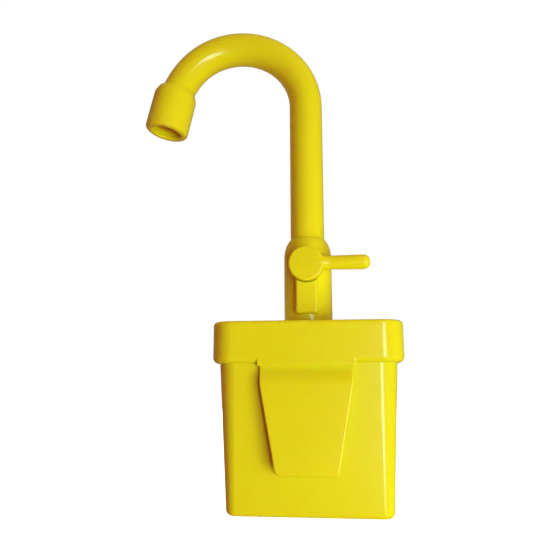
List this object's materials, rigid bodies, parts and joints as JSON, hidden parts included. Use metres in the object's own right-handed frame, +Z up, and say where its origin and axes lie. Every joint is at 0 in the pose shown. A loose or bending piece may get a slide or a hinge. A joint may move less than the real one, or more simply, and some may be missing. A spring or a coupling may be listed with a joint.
{
  "type": "gooseneck tap",
  "caption": "Hook-on gooseneck tap with a quarter-turn lever, a swivel spout and a pump box with a front clip.",
  "frame": {"origin": "centre of the box's flat bottom, under the tap's axis", "axes": "+Z up the tap's axis, -Y towards the clip side, spout towards -X at rest"},
  "size_m": [0.1088, 0.0471, 0.2068],
  "materials": {
    "yellow_plastic": "glossy, moulded, bright yellow",
    "amber_plastic": "glossy, moulded, deep amber",
    "black_rubber": "matt",
    "white_plastic": "satin, moulded",
    "clear_silicone": "milky, satin",
    "dark_plastic": "satin, moulded",
    "steel": "zinc plated",
    "iron": "dark, laminated",
    "cell_sleeve": "glossy sleeve with no print",
    "wire_jacket": "satin"
  },
  "bodies": {
    "box": {"box_shell": "yellow_plastic", "lid": "yellow_plastic", "lid_gasket": "black_rubber", "lid_screws": "steel", "tap_body": "yellow_plastic", "tap_gasket": "black_rubber", "lock_nut": "white_plastic", "valve_bonnet": "yellow_plastic", "swivel_bush": "white_plastic", "hose_adapter": "white_plastic", "riser_hose": "clear_silicone", "pump_housing": "dark_plastic", "pump_cover": "dark_plastic", "pump_screws": "steel", "inlet_seal": "black_rubber", "intake_strainer": "amber_plastic", "shaft_seal": "black_rubber", "motor_magnets": "iron", "motor_can": "steel", "motor_endcap": "dark_plastic", "battery_case": "dark_plastic", "battery_contacts": "steel", "battery_cells": "cell_sleeve", "door_gasket": "black_rubber", "hinge_pins": "steel", "switch_body": "dark_plastic", "button_sleeve": "clear_silicone", "lead_wires": "wire_jacket"},
    "clip": {"hook_clip": "yellow_plastic"},
    "spout": {"spout_leg": "yellow_plastic", "spout_bend": "yellow_plastic", "spout_tip": "yellow_plastic", "nozzle_sleeve": "yellow_plastic", "nozzle_insert": "amber_plastic", "nozzle_washer": "black_rubber", "swivel_o_ring": "black_rubber"},
    "lever": {"lever_knob": "yellow_plastic", "valve_plug": "white_plastic", "plug_o_rings": "black_rubber"},
    "rotor": {"impeller": "white_plastic", "rotor_shaft": "steel", "rotor_core": "iron"},
    "door": {"battery_door": "yellow_plastic", "door_screw": "steel"},
    "button": {"switch_button": "amber_plastic"}
  },
  "joints": [
    {"name": "spout_swivel", "type": "hinge", "parent": "box", "child": "spout", "pos_m": [0, 0, 0.1084], "axis": [0, 0, 1], "range_deg": [-90, 90]},
    {"name": "lever_turn", "type": "hinge", "parent": "box", "child": "lever", "pos_m": [0, -0.01, 0.0953], "axis": [0, -1, 0], "range_deg": [0, 90]},
    {"name": "rotor_spin", "type": "hinge", "parent": "box", "child": "rotor", "pos_m": [-0.017, -0.004, 0.03], "axis": [0, 0, 1], "continuous": true},
    {"name": "door_swing", "type": "hinge", "parent": "box", "child": "door", "pos_m": [0.0234, 0.02036, 0.02788], "axis": [0, -0.0559, -0.9984], "range_deg": [0, 110]},
    {"name": "button_press", "type": "slide", "parent": "box", "child": "button", "axis": [0, 0, -1], "range_m": [0, 0.0015], "stiffness_N_per_m": 400, "springref_m": -0.001, "deforming": ["button_sleeve"]},
    {"name": "clip_flex", "type": "hinge", "parent": "box", "child": "clip", "pos_m": [-0.0002, -0.0214, 0.0559], "axis": [-1, 0, 0], "range_deg": [0, 4], "stiffness_Nm_per_rad": 1.5, "springref_deg": -1.15}
  ]
}
